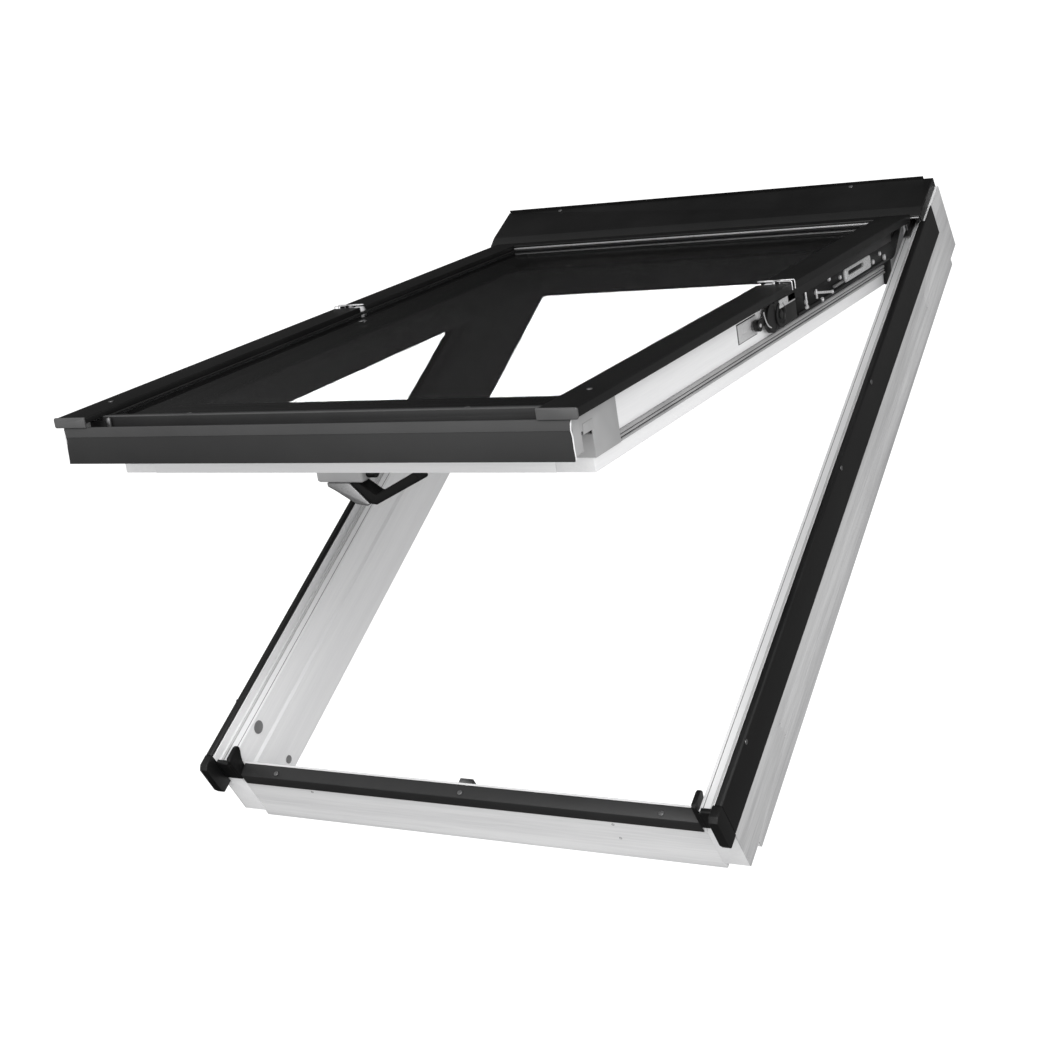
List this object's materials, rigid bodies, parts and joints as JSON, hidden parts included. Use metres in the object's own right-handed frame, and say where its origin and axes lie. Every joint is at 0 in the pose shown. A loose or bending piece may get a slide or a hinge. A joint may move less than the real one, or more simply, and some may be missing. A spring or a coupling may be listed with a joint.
{
  "type": "roof window",
  "caption": "Roof window with wooden frame and dark sheet covers; the glazed sash hangs from its top edge on two arms and also turns about its middle.",
  "frame": {"origin": "middle of the footprint, on the frame's underside, which is the side that faces the room", "axes": "+Z out of the roof, square to the frame; +Y up the roof slope, towards the hood and the top hinges; +X to the right as seen from outside"},
  "size_m": [0.7854, 1.2049, 0.6836],
  "materials": {
    "frame_wood": "white lacquer over faint grain",
    "sash_wood": "white lacquer",
    "dark_sheet": "satin coated sheet",
    "front_sheet": "satin coated extrusion",
    "glass": "clear, dark tint",
    "seal_rubber": "matte",
    "pale_seal": "matte",
    "dark_steel": "black passivated",
    "spacer_metal": "satin",
    "black_plastic": "moulded, fine texture",
    "cap_plastic": "moulded",
    "grey_plastic": "moulded",
    "pale_plastic": "smooth",
    "lever_metal": "satin painted",
    "steel": "zinc plated"
  },
  "bodies": {
    "frame": {"frame_stile_right": "frame_wood", "frame_stile_left": "frame_wood", "frame_bottom_rail": "frame_wood", "frame_top_rail": "frame_wood", "frame_seal": "pale_seal", "frame_side_cover_right": "dark_sheet", "frame_side_cover_left": "dark_sheet", "frame_bottom_cover": "dark_sheet", "corner_block_right": "black_plastic", "corner_block_left": "black_plastic", "cover_end_cap_right": "black_plastic", "cover_end_cap_left": "black_plastic", "top_hood": "dark_sheet", "hood_batten": "frame_wood", "frame_cover_screws": "steel", "keeper_plate": "steel", "stile_plugs": "grey_plastic", "hinge_bracket_right": "steel", "hinge_bracket_left": "steel", "hinge_pins": "steel"},
    "arms": {"hinge_arm_right": "dark_steel", "hinge_arm_left": "dark_steel", "friction_housings": "black_plastic", "arm_guides": "steel", "upper_side_cover_right": "dark_sheet", "upper_side_cover_left": "dark_sheet", "sash_top_cover": "dark_sheet", "pivot_clips_outer": "steel"},
    "sash": {"sash_stile_right": "sash_wood", "sash_stile_left": "sash_wood", "sash_bottom_rail": "sash_wood", "sash_top_rail": "sash_wood", "outer_pane": "glass", "inner_pane": "glass", "glass_spacer": "spacer_metal", "glass_edge_seal": "seal_rubber", "glazing_seal": "seal_rubber", "front_profile": "front_sheet", "lower_side_cover_right": "dark_sheet", "lower_side_cover_left": "dark_sheet", "sash_end_cap_right": "cap_plastic", "sash_end_cap_left": "cap_plastic", "side_moulding_right": "grey_plastic", "side_moulding_left": "grey_plastic", "side_gasket_right": "grey_plastic", "side_gasket_left": "grey_plastic", "stop_blocks": "black_plastic", "catch_plates": "steel", "pivot_plate_right": "steel", "pivot_plate_left": "steel", "pivot_pins": "steel", "pivot_clips_inner": "steel", "sash_screws": "steel", "handle_base": "pale_plastic", "lock_case": "steel"},
    "handle": {"handle_lever": "lever_metal", "handle_grip": "black_plastic", "handle_spindle": "steel"},
    "latch": {"latch_tongue": "steel"}
  },
  "joints": [
    {"name": "top_hinge", "type": "hinge", "parent": "frame", "child": "arms", "pos_m": [0, 0.517, 0.138], "axis": [1, 0, 0], "range_deg": [-6.5, 28.5]},
    {"name": "centre_pivot", "type": "hinge", "parent": "arms", "child": "sash", "pos_m": [0, 0.0747, 0.38384], "axis": [1, 0, 0], "range_deg": [-160, 0]},
    {"name": "handle_turn", "type": "hinge", "parent": "sash", "child": "handle", "pos_m": [-0.024, -0.42145, 0.55878], "axis": [0, 0.4772, 0.8788], "range_deg": [0, 90]},
    {"name": "latch_slide", "type": "slide", "parent": "sash", "child": "latch", "axis": [1, 0, 0], "range_m": [0, 0.014]}
  ],
  "couplings": [
    {"joint": "latch_slide", "follows": "handle_turn", "m_per_rad": 0.0089127}
  ]
}
